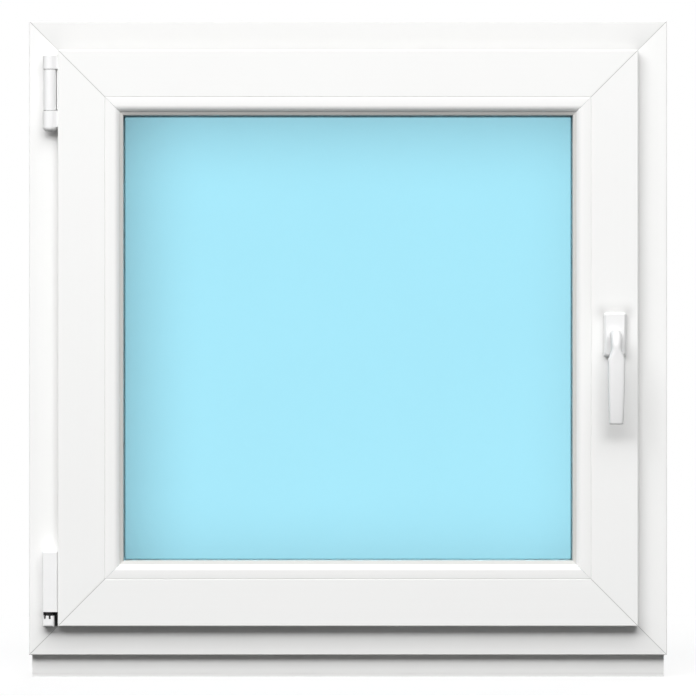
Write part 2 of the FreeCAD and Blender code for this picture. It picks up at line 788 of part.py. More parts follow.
def build_handle():
    """Make the fixed rose and the lever that turns in it."""
    place = (HANDLE_X, SASH_FRONT, HANDLE_Z)
    rose = new_body("handle_rose", *place)
    sketch = new_sketch(rose, "XZ_Plane")
    draw_rounded_rectangle(sketch, ("0", "0"), "rose_width", "rose_height", "rose_corner")
    pad(rose, sketch, "rose_thickness")
    bevel_edges(rose, "rose_bevel", on_plane("Y", "-rose_thickness"))
    seat = new_sketch(rose, "XZ_Plane", "rose_thickness")
    draw_circle(seat, ("0", "0"), "neck_width / 2 + journal_clearance")
    pocket(rose, seat, "journal_depth")

    lever = new_body("handle_lever", *place)
    journal_end = "(rose_thickness - journal_depth + journal_clearance)"
    sketch = new_sketch(lever, "XZ_Plane", journal_end)
    draw_circle(sketch, ("0", "0"), "neck_width / 2")
    pad(lever, sketch, f"neck_reach - {journal_end}")

    bend = new_sketch(lever, "XZ_Plane", "neck_reach")
    draw_circle(bend, ("0", "0"), "neck_width / 2")
    hub_ends = (("-neck_width", "-neck_bend"), ("neck_width", "-neck_bend"))
    places = [Vector(value(across), value(up), 0) for across, up in hub_ends]
    hub = bend.addGeometry(Part.LineSegment(*places), True)
    for point, place in enumerate(hub_ends, start=1):
        hold_point(bend, hub, point, place)
    elbow = lever.newObject("PartDesign::Revolution", "handle_lever_bend")
    elbow.Profile = bend
    elbow.ReferenceAxis = (bend, ["Axis0"])
    elbow.Angle = 90.0
    doc.recompute()

    sections = draw_grip(lever)
    grip = lever.newObject("PartDesign::AdditiveLoft", "handle_lever_grip")
    grip.Profile = sections[0]
    grip.Sections = sections[1:]
    grip.Ruled = True
    doc.recompute()
    bevel_edges(lever, "grip_end_bevel", on_plane("Z", "-lever_length"))


def write_parts():
    """Check every object of the document, then write one file for each sub-part."""
    doc.recompute()
    for item in doc.Objects:
        if "Invalid" in item.State or "Error" in item.State:
            raise RuntimeError(f"{item.Label} failed: {item.State}")
    for body in sub_parts:
        if body.Shape.isNull() or not body.Shape.isValid():
            raise RuntimeError(f"{body.Label} has no valid shape")
    os.makedirs("parts", exist_ok=True)
    for body in sub_parts:
        body.Shape.exportStep(f"parts/{body.Label}.step")
        solids = len(body.Shape.Solids)
        print(f"{body.Label}: {solids} solid(s), {body.Shape.Volume / 1000:.1f} cubic centimetres")


build_base()
build_frame()
build_sash()
build_glazing()
build_drain_caps()
build_top_hinge()
build_bottom_hinge()
build_handle()
write_parts()
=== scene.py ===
"""Looks of a white plastic tilt and turn window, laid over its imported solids."""

import logging
import math
from collections.abc import Iterable, Mapping
from dataclasses import dataclass, replace
from enum import Enum

import bpy
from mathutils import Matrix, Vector


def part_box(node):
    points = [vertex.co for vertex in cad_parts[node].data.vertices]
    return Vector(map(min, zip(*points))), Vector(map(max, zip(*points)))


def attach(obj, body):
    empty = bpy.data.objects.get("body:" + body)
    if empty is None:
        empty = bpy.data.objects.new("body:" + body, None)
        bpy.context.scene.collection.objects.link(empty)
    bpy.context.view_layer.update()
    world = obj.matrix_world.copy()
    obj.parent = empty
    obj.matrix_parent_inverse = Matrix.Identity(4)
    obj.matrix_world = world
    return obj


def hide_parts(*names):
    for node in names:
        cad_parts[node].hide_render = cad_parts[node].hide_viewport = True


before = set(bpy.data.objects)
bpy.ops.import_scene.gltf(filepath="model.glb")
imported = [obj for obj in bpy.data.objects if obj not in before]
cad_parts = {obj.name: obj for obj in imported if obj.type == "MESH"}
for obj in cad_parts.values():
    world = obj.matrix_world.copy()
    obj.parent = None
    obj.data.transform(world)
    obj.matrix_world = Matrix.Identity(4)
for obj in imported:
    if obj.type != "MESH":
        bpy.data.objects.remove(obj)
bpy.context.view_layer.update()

MILLIMETRE = 0.001
QUARTER_TURN = math.pi / 2
STANDING = (QUARTER_TURN, 0.0, 0.0)
CREASE_ANGLE = math.radians(25)
ARC_STEPS = 8
SLOT_SIDES = 8
NOISE_MIDDLE = 0.5
REFRACTION = 1.5
BLACK = (0.0, 0.0, 0.0)
WHITE = (1.0, 1.0, 1.0)

# The curve between screen levels and light
SCREEN_TOP = 255
SCREEN_KNEE = 0.04045
SCREEN_SLOPE = 12.92
SCREEN_LIFT = 0.055
SCREEN_POWER = 2.4

# Corners of a bead's section by number, the last two after its bevel is cut
BEAD_EDGE = 0.0
BEAD_LIP = 3.0
BEAD_SHOULDER = 4.0

Colour = tuple[float, float, float]
Material = bpy.types.Material
Node = bpy.types.Node
Socket = bpy.types.NodeSocket
SocketKey = str | int
Inputs = Mapping[SocketKey, object]

log = logging.getLogger("window")


class Body(Enum):
    """The parts of the window that move against each other."""

    WINDOW = "window"
    HANDLE = "handle"


class Slot(Enum):
    """The record's material slots."""

    WHITE_PLASTIC = "white_plastic"
    OUTER_RUBBER = "outer_rubber"
    INNER_RUBBER = "inner_rubber"
    SPACER_METAL = "spacer_metal"
    HANDLE_ENAMEL = "handle_enamel"


class Run(Enum):
    """The way an extruded profile was drawn through its die."""

    ACROSS = 0
    UPRIGHT = 2


def linear(level: int) -> float:
    """Turn one screen level into linear light.

    Args:
        level: The level from 0 to 255.

    Returns:
        The light from 0 to 1.
    """
    share = level / SCREEN_TOP
    if share <= SCREEN_KNEE:
        return share / SCREEN_SLOPE
    return ((share + SCREEN_LIFT) / (1 + SCREEN_LIFT)) ** SCREEN_POWER


def screen(red: int, green: int, blue: int) -> Colour:
    """Turn a colour written in screen levels into linear light."""
    return linear(red), linear(green), linear(blue)


def opaque(colour: Colour) -> tuple[float, float, float, float]:
    """Add full cover to a colour."""
    return (*colour, 1.0)


def put(name: str, data: bpy.types.ID) -> bpy.types.Object:
    """Link a new object into the scene.

    Args:
        name: The object's name.
        data: Its mesh, lamp or camera.

    Returns:
        The object, at the origin.
    """
    thing = bpy.data.objects.new(name, data)
    bpy.context.scene.collection.objects.link(thing)
    return thing


def soften(mesh: bpy.types.Mesh) -> None:
    """Shade a mesh smoothly but for its sharp edges."""
    mesh.shade_smooth()
    mesh.set_sharp_from_angle(angle=CREASE_ANGLE)


class Channel:
    """A number in a node tree that takes part in Python expressions."""

    def __init__(self, board: "Board", socket: Socket) -> None:
        """Keep the tree and the socket that gives the number."""
        self.board = board
        self.socket = socket

    def __add__(self, other: "Channel | float") -> "Channel":
        """Sum with another number."""
        return self.board.math("ADD", self, other)

    __radd__ = __add__

    def __sub__(self, other: "Channel | float") -> "Channel":
        """Difference from another number."""
        return self.board.math("SUBTRACT", self, other)

    def __rsub__(self, other: float) -> "Channel":
        """Difference from a plain number on the left."""
        return self.board.math("SUBTRACT", other, self)

    def __mul__(self, other: "Channel | float") -> "Channel":
        """Product with another number."""
        return self.board.math("MULTIPLY", self, other)

    def __truediv__(self, other: "Channel | float") -> "Channel":
        """Share of another number."""
        return self.board.math("DIVIDE", self, other)

    def __pow__(self, other: "Channel | float") -> "Channel":
        """Power of another number."""
        return self.board.math("POWER", self, other)

    def size(self) -> "Channel":
        """The number without its sign."""
        return self.board.math("ABSOLUTE", self, 0.0)

    def held(self) -> "Channel":
        """The number kept between 0 and 1."""
        node = self.board.add("ShaderNodeClamp", {}, {"Value": self})
        return Channel(self.board, node.outputs[0])


Number = Channel | float


class Board:
    """A node tree that is built from Python."""

    def __init__(self, tree: bpy.types.NodeTree) -> None:
        """Start from an empty tree."""
        self.tree = tree
        self.tree.nodes.clear()

    def add(self, kind: str, settings: Inputs, inputs: Inputs) -> Node:
        """Add one node.

        Args:
            kind: The node's type.
            settings: Its settings by name, set before its sockets.
            inputs: Values, sockets or channels by a socket's identifier, name or number.

        Returns:
            The new node.
        """
        node = self.tree.nodes.new(kind)
        for name, setting in settings.items():
            setattr(node, name, setting)
        for key, given in inputs.items():
            socket = self.socket(node.inputs, key)
            given = given.socket if isinstance(given, Channel) else given
            if isinstance(given, Socket):
                self.tree.links.new(given, socket)
            else:
                socket.default_value = given
        return node

    @staticmethod
    def socket(sockets: bpy.types.bpy_prop_collection, key: SocketKey) -> Socket:
        """Find a socket.

        Args:
            sockets: A node's inputs or outputs.
            key: Its number, identifier or name.

        Returns:
            The socket that the key names.
        """
        if isinstance(key, int):
            return sockets[key]
        for socket in sockets:
            if socket.identifier == key:
                return socket
        return sockets[key]

    def math(self, operation: str, first: Number, second: Number) -> Channel:
        """Work out one step of an expression."""
        node = self.add("ShaderNodeMath", {"operation": operation}, {0: first, 1: second})
        return Channel(self, node.outputs[0])

    def mix(self, share: Number, first: Colour | Socket, second: Colour | Socket) -> Socket:
        """Mix two colours.

        Args:
            share: How much of the second colour shows.
            first: The first colour.
            second: The second colour.

        Returns:
            The socket of the mixed colour.
        """
        colours = {
            key: opaque(given) if isinstance(given, tuple) else given
            for key, given in (("A_Color", first), ("B_Color", second))
        }
        inputs = {"Factor_Float": share, **colours}
        node = self.add("ShaderNodeMix", {"data_type": "RGBA"}, inputs)
        return self.socket(node.outputs, "Result_Color")

    def split(self, vector: Socket) -> tuple[Channel, Channel, Channel]:
        """Take a vector apart into its three numbers."""
        parts = self.add("ShaderNodeSeparateXYZ", {}, {0: vector})
        return tuple(Channel(self, socket) for socket in parts.outputs)


class Paint(Board):
    """The node tree of one material."""

    def __init__(self, name: str) -> None:
        """Make a new material and empty its tree."""
        self.material = bpy.data.materials.new(name)
        self.material.use_nodes = True
        super().__init__(self.material.node_tree)

    def place(self) -> Socket:
        """Place on the piece, in metres."""
        return self.add("ShaderNodeTexCoord", {}, {}).outputs["Object"]

    def axes(self) -> tuple[Channel, Channel, Channel]:
        """Place on the piece as three channels."""
        return self.split(self.place())

    def noise(self, per_metre: tuple[float, float, float], detail: float = 2.0) -> Channel:
        """Smooth random change over the piece, about one half on average.

        Args:
            per_metre: How many changes there are in a metre along each axis.
            detail: How many finer layers are added.

        Returns:
            The noise's level.
        """
        stretched = self.add("ShaderNodeMapping", {}, {"Vector": self.place(), "Scale": per_metre})
        inputs = {"Vector": stretched.outputs[0], "Scale": 1.0, "Detail": detail}
        return Channel(self, self.add("ShaderNodeTexNoise", {}, inputs).outputs[0])

    def bump(self, height: Channel, strength: float, depth: float) -> Socket:
        """Relief from a height of 0 to 1 that stands for a depth in metres."""
        inputs = {"Height": height, "Strength": strength, "Distance": depth}
        return self.add("ShaderNodeBump", {}, inputs).outputs[0]

    def overlay(self, share: Channel, first: Node, second: Node) -> Node:
        """Mix two shaders by the share of the second."""
        inputs = {0: share, 1: first.outputs[0], 2: second.outputs[0]}
        return self.add("ShaderNodeMixShader", {}, inputs)

    def finish(self, inputs: Inputs) -> Material:
        """Close the tree with one surface shader.

        Args:
            inputs: The shader's values and links.

        Returns:
            The finished material.
        """
        shader = self.add("ShaderNodeBsdfPrincipled", {}, inputs)
        self.add("ShaderNodeOutputMaterial", {}, {"Surface": shader.outputs[0]})
        return self.material


@dataclass(frozen=True)
class WeldSeam:
    """The trimmed weld along the mitres of a rectangular ring of profiles, drawn as a darker line:
    dirt in the joint and painted shade in its groove.
    """

    half_width: float
    half_height: float
    middle_height: float
    reach: float = 0.9 * MILLIMETRE
    dirt_and_groove_shade: Colour = screen(152, 152, 150)
    cover: float = 0.8

    def nearness(self, paint: Paint) -> Channel:
        """How near a place is to a mitre.

        Args:
            paint: The tree that paints the seam.

        Returns:
            One on the mitre, falling to zero at the seam's reach.
        """
        across, _, up = paint.axes()
        side_inset = self.half_width - across.size()
        level_inset = self.half_height - (up - self.middle_height).size()
        return (1.0 - (side_inset - level_inset).size() / self.reach).held()


@dataclass(frozen=True)
class PaintedShade:
    """Faint painted shade on a face beside something that stands out from it."""

    low: Vector
    high: Vector
    reach: float
    tone: Colour

    def nearness(self, paint: Paint) -> Channel:
        """How near a place is to the foot of what stands out.

        Args:
            paint: The tree that paints the shade.

        Returns:
            One at the foot, falling to zero at the shade's reach.
        """
        middle = (self.low + self.high) / 2
        total = 0.0
        for axis, centre, end in zip(paint.axes(), middle, self.high):
            beyond = paint.math("MAXIMUM", (axis - centre).size() - (end - centre), 0.0)
            total = beyond * beyond + total
        near = (1.0 - total ** 0.5 / self.reach).held()
        return near * near


@dataclass(frozen=True)
class PlasticFinish:
    """Extruded white window plastic: a satin skin with faint lines along the profile."""

    white: Colour = screen(244, 244, 243)
    shade: Colour = screen(240, 240, 239)
    across_per_metre: float = 420.0
    along_per_metre: float = 1.5
    skin_per_metre: float = 900.0
    clouds_per_metre: float = 4.0
    line_share: float = 0.4
    line_depth: float = 0.02 * MILLIMETRE
    relief_strength: float = 0.25
    roughness: float = 0.3
    roughness_swing: float = 0.1

    def material(
        self, name: str, run: Run, seam: WeldSeam | None = None, shades: tuple[PaintedShade, ...] = ()
    ) -> Material:
        """Make the finish for profiles that run one way.

        Args:
            name: The material's name.
            run: The way the profile was extruded.
            seam: The weld at the profiles' ends, if they are welded.
            shades: The painted shades beside what stands out from the profile.

        Returns:
            The material.
        """
        paint = Paint(name)
        steps = [self.across_per_metre] * 3
        steps[run.value] = self.along_per_metre
        lines = paint.noise(tuple(steps))
        skin = paint.noise((self.skin_per_metre,) * 3)
        clouds = paint.noise((self.clouds_per_metre,) * 3)
        relief = lines * (1.0 - self.line_share) + skin * self.line_share
        cover = clouds * (1.0 - self.line_share) + lines * self.line_share
        tone = paint.mix(cover, self.white, self.shade)
        if seam is not None:
            # Darker line along the mitres: dirt in the joint and painted shade in the weld groove
            tone = paint.mix(seam.nearness(paint) * seam.cover, tone, seam.dirt_and_groove_shade)
        # Painted shade beside what stands out, such as the rose and the sash
        for shade in shades:
            tone = paint.mix(shade.nearness(paint), tone, shade.tone)
        return paint.finish({
            "Base Color": tone,
            "Roughness": self.roughness + (lines - NOISE_MIDDLE) * self.roughness_swing,
            "Normal": paint.bump(relief, self.relief_strength, self.line_depth),
            "IOR": REFRACTION,
        })


@dataclass(frozen=True)
class GrainFinish:
    """A skin with a fine grain over broad patches of a second tone."""

    name: str
    tone: Colour
    patch: Colour
    roughness: float
    grain_per_metre: float
    grain_depth: float
    patches_per_metre: float
    relief_strength: float
    metallic: float = 0.0
    grain_detail: float = 2.0
    patch_detail: float = 3.0
    grain_share: float = 0.0
    grain_gloss: float = 0.0
    patch_gloss: float = 0.0

    def material(self) -> Material:
        """Make the finish.

        Returns:
            The material.
        """
        paint = Paint(self.name)
        grain = paint.noise((self.grain_per_metre,) * 3, self.grain_detail)
        patches = paint.noise((self.patches_per_metre,) * 3, self.patch_detail)
        cover = patches * (1.0 - self.grain_share) + grain * self.grain_share
        gloss = patches * self.patch_gloss + grain * self.grain_gloss
        return paint.finish({
            "Base Color": paint.mix(cover, self.tone, self.patch),
            "Metallic": self.metallic,
            "Roughness": self.roughness + gloss,
            "Normal": paint.bump(grain, self.relief_strength, self.grain_depth),
            "IOR": REFRACTION,
        })


@dataclass(frozen=True)
class EnamelFinish(GrainFinish):
    """White stoved enamel on metal: smooth, with a fine orange peel."""

    tone: Colour = screen(246, 246, 246)
    patch: Colour = screen(242, 242, 242)
    roughness: float = 0.28
    grain_per_metre: float = 650.0
    grain_depth: float = 0.03 * MILLIMETRE
    patches_per_metre: float = 30.0
    relief_strength: float = 0.2
    grain_detail: float = 1.0
    patch_detail: float = 2.0
    patch_gloss: float = 0.08


@dataclass(frozen=True)
class RubberFinish(GrainFinish):
    """Sealing rubber: matt, with a fine grain and a paler bloom in patches."""

    roughness: float = 0.55
    grain_per_metre: float = 1400.0
    grain_depth: float = 0.05 * MILLIMETRE
    patches_per_metre: float = 25.0
    relief_strength: float = 0.4
    grain_share: float = 0.3
    patch_gloss: float = 0.2


@dataclass(frozen=True)
class MetalFinish(GrainFinish):
    """Bare or darkened metal with worn patches."""

    grain_per_metre: float = 300.0
    grain_depth: float = 0.02 * MILLIMETRE
    patches_per_metre: float = 60.0
    relief_strength: float = 0.3
    grain_share: float = 0.4
    grain_gloss: float = 0.15


@dataclass(frozen=True)
class EdgeShade:
    """How much painted shade darkens a pane along one edge, and how far in that reaches."""

    depth: float
    reach: float


@dataclass(frozen=True)
class GlassFinish:
    """Tinted sheet glass with painted shade towards its edges."""

    name: str
    tint: Colour
    half_width: float
    low: float
    high: float
    left: EdgeShade | None = None
    right: EdgeShade | None = None
    bottom: EdgeShade | None = None
    top: EdgeShade | None = None
    clouds_per_metre: float = 6.0
    cloud_depth: float = 0.02

    def material(self) -> Material:
        """Make the finish.

        Returns:
            The material.
        """
        paint = Paint(self.name)
        across, _, up = paint.axes()
        sides = (
            (self.left, across + self.half_width),
            (self.right, self.half_width - across),
            (self.bottom, up - self.low),
            (self.top, self.high - up),
        )
        clear = 1.0 - paint.noise((self.clouds_per_metre,) * 3) * self.cloud_depth
        # Painted shade along the pane's edges
        for shade, distance in sides:
            if shade is not None:
                nearness = (1.0 - distance / shade.reach).held()
                clear = clear * (1.0 - nearness * nearness * shade.depth)
        return paint.finish({
            "Base Color": paint.mix(clear, BLACK, self.tint),
            "Roughness": 0.0,
            "IOR": REFRACTION,
            "Transmission Weight": 1.0,
        })


def dress(nodes: Iterable[str], material: Material) -> None:
    """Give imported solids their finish.

    Args:
        nodes: The solids' names.
        material: The finish that they all take.
    """
    for name in nodes:
        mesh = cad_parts[name].data
        mesh.materials.clear()
        mesh.materials.append(material)
        log.info("dressed %s in %s", name, material.name)


class Shaper(Board):
    """A geometry tree with named sizes, baked into plain meshes."""

    def __init__(self, name: str) -> None:
        """Start a tree with one geometry output and no sizes."""
        super().__init__(bpy.data.node_groups.new(name, "GeometryNodeTree"))
        self.keys: dict[str, str] = {}
        self.entry = self.tree.nodes.new("NodeGroupInput")
        self.tree.interface.new_socket(
            "Geometry", in_out="OUTPUT", socket_type="NodeSocketGeometry"
        )

    def size(self, name: str, kind: str = "Float") -> Channel:
        """Add a named input.

        Args:
            name: What it sizes.
            kind: The kind of socket.

        Returns:
            The input as a channel.
        """
        added = self.tree.interface.new_socket(
            name, in_out="INPUT", socket_type=f"NodeSocket{kind}"
        )
        self.keys[name] = added.identifier
        return Channel(self, self.socket(self.entry.outputs, added.identifier))

    def vector(self, across: Number, depth: Number, up: Number) -> Channel:
        """Join three numbers into a vector."""
        node = self.add("ShaderNodeCombineXYZ", {}, {0: across, 1: depth, 2: up})
        return Channel(self, node.outputs[0])

    def rectangle(self, width: Channel, height: Channel) -> Socket:
        """Draw a flat rectangle about the origin."""
        sides = {"Width": width, "Height": height}
        return self.add("GeometryNodeCurvePrimitiveQuadrilateral", {}, sides).outputs[0]

    def outline(self, *corners: tuple[Number, Number]) -> Socket:
        """Draw a flat outline through four corners.

        Args:
            corners: The corners in order.

        Returns:
            The socket of the closed curve.
        """
        points = {
            f"Point {number}": self.vector(*corner, 0.0)
            for number, corner in enumerate(corners, start=1)
        }
        kind = "GeometryNodeCurvePrimitiveQuadrilateral"
        return self.add(kind, {"mode": "POINTS"}, points).outputs[0]

    def fillet(self, curve: Socket, steps: int, radius: Channel) -> Socket:
        """Cut or round corners of a curve.

        Args:
            curve: The curve.
            steps: How many straight steps a corner is turned into.
            radius: The radius at each corner, zero where it stays.

        Returns:
            The socket of the changed curve.
        """
        inputs = {"Curve": curve, "Count": steps, "Radius": radius}
        return self.add("GeometryNodeFilletCurve", {"mode": "POLY"}, inputs).outputs[0]

    def sweep(self, path: Socket, section: Socket, capped: bool) -> Socket:
        """Draw a section along a flat path.

        Args:
            path: The path.
            section: The section, whose second axis stays square to the path's plane.
            capped: Whether the ends are closed.

        Returns:
            The socket of the swept mesh.
        """
        level = self.add("GeometryNodeSetCurveNormal", {"mode": "Z_UP"}, {"Curve": path})
        inputs = {"Curve": level.outputs[0], "Profile Curve": section, "Fill Caps": capped}
        return self.add("GeometryNodeCurveToMesh", {}, inputs).outputs[0]

    def moved(self, geometry: Socket, changes: Inputs) -> Socket:
        """Shift, turn or stretch a shape, as the changes say."""
        inputs = {"Geometry": geometry, **changes}
        return self.add("GeometryNodeTransform", {}, inputs).outputs[0]

    def stood(self, geometry: Socket, middle: Channel) -> Socket:
        """Stand a flat shape upright about a point."""
        return self.moved(geometry, {"Translation": middle, "Rotation": STANDING})

    def close(self, geometry: Socket) -> None:
        """End the tree with real geometry in one finish.

        Args:
            geometry: What the tree has made.
        """
        finish = self.size("Finish", "Material")
        real = self.add("GeometryNodeRealizeInstances", {}, {"Geometry": geometry})
        inputs = {"Geometry": real.outputs[0], "Material": finish}
        painted = self.add("GeometryNodeSetMaterial", {}, inputs)
        self.add("NodeGroupOutput", {}, {0: painted.outputs[0]})

    def bake(self, name: str, sizes: Inputs) -> bpy.types.Object:
        """Make one piece from the tree.

        Args:
            name: The piece's name.
            sizes: A value for each of the tree's inputs.

        Returns:
            An object at the origin with a plain mesh.
        """
        carrier = put(f"{name}_carrier", bpy.data.meshes.new(f"{name}_carrier"))
        modifier = carrier.modifiers.new("shape", "NODES")
        modifier.node_group = self.tree
        for size, given in sizes.items():
            modifier[self.keys[size]] = given
        evaluated = carrier.evaluated_get(bpy.context.evaluated_depsgraph_get())
        mesh = bpy.data.meshes.new_from_object(evaluated)
        mesh.name = name
        bpy.data.objects.remove(carrier)
        soften(mesh)
        return put(name, mesh)


class SealSweep(Shaper):
    """A rounded rubber section that runs round a rectangle."""

    def __init__(self) -> None:
        """Build the tree: a rounded section swept along a rectangular path, then stood upright."""
        super().__init__("seal_sweep")
        path = self.rectangle(self.size("Path Width"), self.size("Path Height"))
        half_width = self.size("Band Width") / 2.0
        half_depth = self.size("Band Depth") / 2.0
        section = self.outline(
            (half_width, 0.0 - half_depth),
            (half_width, half_depth),
            (0.0 - half_width, half_depth),
            (0.0 - half_width, self.size("Slant") - half_depth),
        )
        rounded = self.fillet(section, ARC_STEPS, self.size("Rounding"))
        # In the path's square corners the section lies across the mitre, wider by root two
        mitred = self.moved(rounded, {"Scale": (math.sqrt(2), 1.0, 1.0)})
        swept = self.sweep(path, mitred, capped=False)
        self.close(self.stood(swept, self.size("Middle", "Vector")))


class BeadBar(Shaper):
    """A glazing bead: a bevelled and rounded section, drawn straight, with mitred ends."""

    def __init__(self) -> None:
        """Build the tree: the section, its straight run, the mitres, then the turn to its side."""
        super().__init__("bead_bar")
        half_length = self.size("Half Length")
        line = self.size("Line")
        front = self.size("Front")
        rear = self.size("Rear")
        width = self.size("Width")
        section = self.outline((0.0, front), (0.0, rear), (width, rear), (width, front))
        corner = Channel(self, self.add("GeometryNodeInputIndex", {}, {}).outputs[0])
        at_edge, at_lip, at_shoulder = (
            self.math("COMPARE", corner, number) for number in (BEAD_EDGE, BEAD_LIP, BEAD_SHOULDER)
        )
        bevelled = self.fillet(section, 1, at_lip * self.size("Bevel"))
        edge = at_edge * self.size("Edge Rounding")
        shoulder = at_shoulder * self.size("Shoulder Rounding")
        lip = at_lip * self.size("Lip Rounding")
        rounded = self.fillet(bevelled, ARC_STEPS, edge + lip + shoulder)
        start = self.vector(0.0 - half_length, 0.0, 0.0)
        end = self.vector(half_length, 0.0, 0.0)
        run = self.add("GeometryNodeCurvePrimitiveLine", {}, {"Start": start, "End": end})
        swept = self.sweep(run.outputs[0], rounded, capped=True)
        place = self.add("GeometryNodeInputPosition", {}, {}).outputs[0]
        along, inset, height = self.split(place)
        # Each end is cut back by as much as it lies inside the bead's outer line
        cut_back = along - along * inset.size() / half_length
        position = self.vector(cut_back, inset.size() - line, height)
        inputs = {"Geometry": swept, "Position": position}
        mitred = self.add("GeometryNodeSetPosition", {}, inputs).outputs[0]
        turned = self.moved(mitred, {"Rotation": self.vector(0.0, 0.0, self.size("Turn"))})
        self.close(self.stood(turned, self.size("Middle", "Vector")))


class SpacerHoles(Shaper):
    """Small vent slots in a row round the inner face of the spacer bar, drawn as thin dark plates
    that are painted shade for the holes' insides.
    """

    def __init__(self) -> None:
        """Build the tree: slots set at an even pitch along a rectangle, lying in its inner face."""
        super().__init__("spacer_holes")
        path = self.rectangle(self.size("Path Width"), self.size("Path Height"))
        spread = {"Curve": path, "Length": self.size("Pitch")}
        points = self.add("GeometryNodeCurveToPoints", {"mode": "LENGTH"}, spread)
        length = self.size("Slot Length")
        width = self.size("Slot Width")
        sizes = {"Vertices": SLOT_SIDES, "Radius": width / 2.0, "Depth": self.size("Slot Depth")}
        slot = self.add("GeometryNodeMeshCylinder", {"fill_type": "NGON"}, sizes)
        stretched = self.moved(slot.outputs["Mesh"], {
            "Rotation": (0.0, QUARTER_TURN, 0.0),
            "Scale": self.vector(length / width, 1.0, 1.0),
        })
        inputs = {key: points.outputs[key] for key in ("Points", "Rotation")}
        inputs["Instance"] = stretched
        placed = self.add("GeometryNodeInstanceOnPoints", {}, inputs)
        self.close(self.stood(placed.outputs[0], self.size("Middle", "Vector")))


@dataclass
class OuterFrame:
    """The fixed frame, the profile below it and the drain caps outside."""

    rails: tuple[str, ...] = ("frame_bottom_rail", "frame_head")
    jambs: tuple[str, ...] = ("frame_left_jamb", "frame_right_jamb")
    trims: tuple[str, ...] = ("base_profile", "drain_cap_left", "drain_cap_right")

    def build(self, finishes: "Finishes") -> None:
        """Dress the members along their own run.

        Args:
            finishes: The window's finishes.
        """
        # The rails and trims take the darker copy of the plastic, which is painted shade
        dress(self.rails, finishes.frame_rail)
        dress(self.jambs, finishes.welded[Run.UPRIGHT])
        dress(self.trims, finishes.frame_trim)


@dataclass
class Sash:
    """The opening sash with its glazing beads."""

    rails: tuple[str, ...] = ("sash_bottom_rail", "sash_top_rail")
    stiles: tuple[str, ...] = ("sash_left_stile", "sash_right_stile")
    bead_turns: tuple[tuple[str, Run, int], ...] = (
        ("bead_bottom", Run.ACROSS, 0),
        ("bead_right", Run.UPRIGHT, 1),
        ("bead_top", Run.ACROSS, 2),
        ("bead_left", Run.UPRIGHT, 3),
    )
    bead_width: float = 18.2 * MILLIMETRE
    bead_bevel: float = 4.5 * MILLIMETRE
    edge_rounding: float = 0.8 * MILLIMETRE
    shoulder_rounding: float = 8.0 * MILLIMETRE
    lip_rounding: float = 1.5 * MILLIMETRE

    def build(self, finishes: "Finishes") -> None:
        """Dress the members along their own run and lay the beads.

        Args:
            finishes: The window's finishes.
        """
        dress(self.rails, finishes.welded[Run.ACROSS])
        dress(self.stiles, finishes.sash_stile)
        bar = BeadBar()
        for node, run, quarters in self.bead_turns:
            self.lay_bead(bar, node, run, quarters, finishes.plain[run])

    def lay_bead(
        self, bar: BeadBar, node: str, run: Run, quarters: int, material: Material
    ) -> None:
        """Put a smoothly rounded bead in the place of a faceted one.

        Args:
            bar: The tree that draws it.
            node: The faceted bead's name.
            run: The way it lies.
            quarters: Quarter turns from the bottom side, against the clock.
            material: Its finish.
        """
        low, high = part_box(node)
        sash_low, sash_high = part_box("sash_left_stile")[0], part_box("sash_right_stile")[1]
        middle = (sash_low + sash_high) / 2
        reach = [
            max(abs(near - centre), abs(far - centre))
            for near, far, centre in zip(low, high, middle)
        ]
        piece = bar.bake(f"{node}_round", {
            "Half Length": reach[run.value],
            "Line": reach[Run.UPRIGHT.value if run is Run.ACROSS else Run.ACROSS.value],
            "Front": low.y,
            "Rear": high.y,
            "Width": self.bead_width,
            "Bevel": self.bead_bevel,
            "Edge Rounding": self.edge_rounding,
            "Shoulder Rounding": self.shoulder_rounding,
            "Lip Rounding": self.lip_rounding,
            "Turn": quarters * QUARTER_TURN,
            "Middle": (middle.x, 0.0, middle.z),
            "Finish": material,
        })
        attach(piece, Body.WINDOW.value)
        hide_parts(node)
        log.info("drew %s", piece.name)


